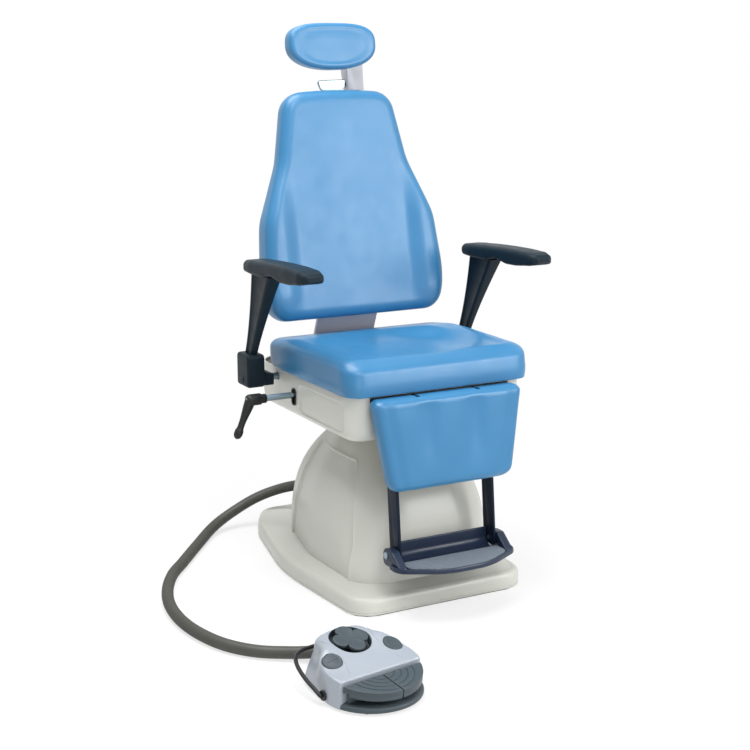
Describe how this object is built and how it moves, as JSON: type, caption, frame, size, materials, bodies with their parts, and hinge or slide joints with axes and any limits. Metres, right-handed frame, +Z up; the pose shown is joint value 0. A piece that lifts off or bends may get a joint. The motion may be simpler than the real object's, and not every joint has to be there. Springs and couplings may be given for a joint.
{
  "type": "ear nose and throat examination chair",
  "caption": "Upholstered examination chair on a moulded lifting column with headrest, swing arms, legrest and a wired foot control.",
  "frame": {"origin": "on the floor under the swivel axis, at the underside of the floor plate", "axes": "+Z up along the lift and swivel axis, -Y the way the sitter faces, +X to the sitter's left"},
  "size_m": [0.9491, 1.2301, 1.3364],
  "materials": {
    "vinyl": "smooth satin blue vinyl over foam",
    "cream_moulding": "gloss cream grey moulding",
    "slate_plastic": "fine matte dark slate",
    "plain_steel": "zinc plated",
    "bright_steel": "bright plated",
    "dark_paint": "dark enamel",
    "grey_paint": "satin grey enamel",
    "navy_paint": "satin navy powder coat",
    "grey_rubber": "ribbed grey",
    "silver_plastic": "silver satin",
    "control_plastic": "dark grey matte",
    "black_plastic": "black",
    "conduit": "ribbed dark grey conduit"
  },
  "bodies": {
    "base": {"floor_plate": "dark_paint", "base_skirt": "cream_moulding", "column_cover": "cream_moulding", "guide_column": "plain_steel", "lift_actuator": "dark_paint", "hose_gland": "control_plastic", "foot_hose": "conduit", "pedal_base": "control_plastic", "pedal_housing": "silver_plastic", "pedal_gland": "control_plastic", "bail_pivot_left": "black_plastic", "bail_pivot_right": "black_plastic"},
    "lift": {"lift_column": "plain_steel", "lift_rod": "bright_steel"},
    "seat": {"swivel_plate": "plain_steel", "seat_frame": "dark_paint", "seat_shell": "cream_moulding", "seat_pan": "grey_paint", "seat_cushion": "vinyl", "back_hinge_pin": "bright_steel", "back_drive": "dark_paint"},
    "back": {"back_bracket": "grey_paint", "back_panel": "cream_moulding", "back_cushion": "vinyl", "headrest_guide": "dark_paint"},
    "stem": {"headrest_stem": "bright_steel"},
    "head_arm": {"headrest_bracket": "cream_moulding", "headrest_stem_pin": "plain_steel"},
    "head_lever": {"headrest_lever": "bright_steel"},
    "head": {"headrest_plate": "cream_moulding", "headrest_pin": "plain_steel", "headrest_cushion": "vinyl"},
    "legrest": {"legrest_board": "navy_paint", "legrest_pin_left": "plain_steel", "legrest_pin_right": "plain_steel", "legrest_cushion": "vinyl", "footrest_bar_left": "navy_paint", "footrest_bar_right": "navy_paint"},
    "footrest": {"footrest_tray": "navy_paint", "footrest_mat": "grey_rubber", "footrest_pin_left": "plain_steel", "footrest_pin_right": "plain_steel"},
    "arm_left": {"arm_shaft_left": "plain_steel", "arm_socket_left": "slate_plastic", "arm_post_left": "slate_plastic", "arm_pad_left": "slate_plastic"},
    "arm_right": {"arm_shaft_right": "plain_steel", "arm_socket_right": "slate_plastic", "arm_post_right": "slate_plastic", "arm_pad_right": "slate_plastic"},
    "lock": {"lock_rod": "plain_steel", "lock_lever": "black_plastic"},
    "tread_left": {"pedal_left": "control_plastic"},
    "tread_right": {"pedal_right": "control_plastic"},
    "key_left": {"button_left": "control_plastic"},
    "key_right": {"button_right": "control_plastic"},
    "gimbal": {"direction_gimbal": "control_plastic"},
    "direction_pad": {"direction_pad": "control_plastic"},
    "bail": {"carry_bail": "black_plastic"}
  },
  "joints": [
    {"name": "seat_lift", "type": "slide", "parent": "base", "child": "lift", "axis": [0, 0, 1], "range_m": [0, 0.18]},
    {"name": "seat_swivel", "type": "hinge", "parent": "lift", "child": "seat", "pos_m": [0, 0, 0.425], "axis": [0, 0, 1], "range_deg": [-90, 90]},
    {"name": "back_recline", "type": "hinge", "parent": "seat", "child": "back", "pos_m": [0, 0.19, 0.456], "axis": [-1, 0, 0], "range_deg": [0, 70]},
    {"name": "headrest_height", "type": "slide", "parent": "back", "child": "stem", "axis": [0, 0.1994, 0.9799], "range_m": [0, 0.1]},
    {"name": "headrest_arm_tilt", "type": "hinge", "parent": "stem", "child": "head_arm", "pos_m": [0.087, 0.3237, 1.1847], "axis": [-1, 0, 0], "range_deg": [-15, 25]},
    {"name": "headrest_clamp", "type": "hinge", "parent": "head_arm", "child": "head_lever", "pos_m": [0.087, 0.3237, 1.1847], "axis": [-1, 0, 0], "range_deg": [0, 35]},
    {"name": "headrest_tilt", "type": "hinge", "parent": "head_arm", "child": "head", "pos_m": [0.087, 0.33528, 1.27634], "axis": [-1, 0, 0], "range_deg": [-12, 20]},
    {"name": "legrest_lift", "type": "hinge", "parent": "seat", "child": "legrest", "pos_m": [0, -0.3005, 0.4875], "axis": [-1, 0, 0], "range_deg": [0, 75]},
    {"name": "footrest_fold", "type": "hinge", "parent": "legrest", "child": "footrest", "pos_m": [0, -0.29229, 0.14182], "axis": [-1, 0, 0], "range_deg": [0, 65]},
    {"name": "armrest_left_swing", "type": "hinge", "parent": "seat", "child": "arm_left", "pos_m": [0.303, 0.12, 0.493], "axis": [-1, 0, 0], "range_deg": [0, 90]},
    {"name": "armrest_right_swing", "type": "hinge", "parent": "seat", "child": "arm_right", "pos_m": [-0.303, 0.12, 0.493], "axis": [-1, 0, 0], "range_deg": [0, 90]},
    {"name": "swivel_lock", "type": "hinge", "parent": "seat", "child": "lock", "pos_m": [-0.344, 0.02, 0.466], "axis": [1, 0, 0], "range_deg": [-60, 60]},
    {"name": "tread_left_press", "type": "hinge", "parent": "base", "child": "tread_left", "pos_m": [-0.33104, -0.68827, 0.0377], "axis": [0.9877, 0.1564, 0], "range_deg": [0, 6], "stiffness_Nm_per_rad": 2, "springref_deg": -3.44},
    {"name": "tread_right_press", "type": "hinge", "parent": "base", "child": "tread_right", "pos_m": [-0.42981, -0.70391, 0.0377], "axis": [0.9877, 0.1564, 0], "range_deg": [0, 6], "stiffness_Nm_per_rad": 2, "springref_deg": -3.44},
    {"name": "key_left_press", "type": "slide", "parent": "base", "child": "key_left", "axis": [-0.2136, 0.3504, -0.9119], "range_m": [0, 0.003], "stiffness_N_per_m": 400, "springref_m": -0.0015},
    {"name": "key_right_press", "type": "slide", "parent": "base", "child": "key_right", "axis": [0.0949, 0.3992, -0.9119], "range_m": [0, 0.003], "stiffness_N_per_m": 400, "springref_m": -0.0015},
    {"name": "direction_fore_aft", "type": "hinge", "parent": "base", "child": "gimbal", "pos_m": [-0.39874, -0.58046, 0.08319], "axis": [0.9877, 0.1564, 0], "range_deg": [-6, 6], "stiffness_Nm_per_rad": 0.8},
    {"name": "direction_sideways", "type": "hinge", "parent": "gimbal", "child": "direction_pad", "pos_m": [-0.39874, -0.58046, 0.08319], "axis": [-0.1504, 0.9499, 0.2741], "range_deg": [-6, 6], "stiffness_Nm_per_rad": 0.8},
    {"name": "carry_bail_swing", "type": "hinge", "parent": "base", "child": "bail", "pos_m": [-0.38965, -0.63782, 0.02], "axis": [0.9877, 0.1564, 0], "range_deg": [0, 75]}
  ]
}
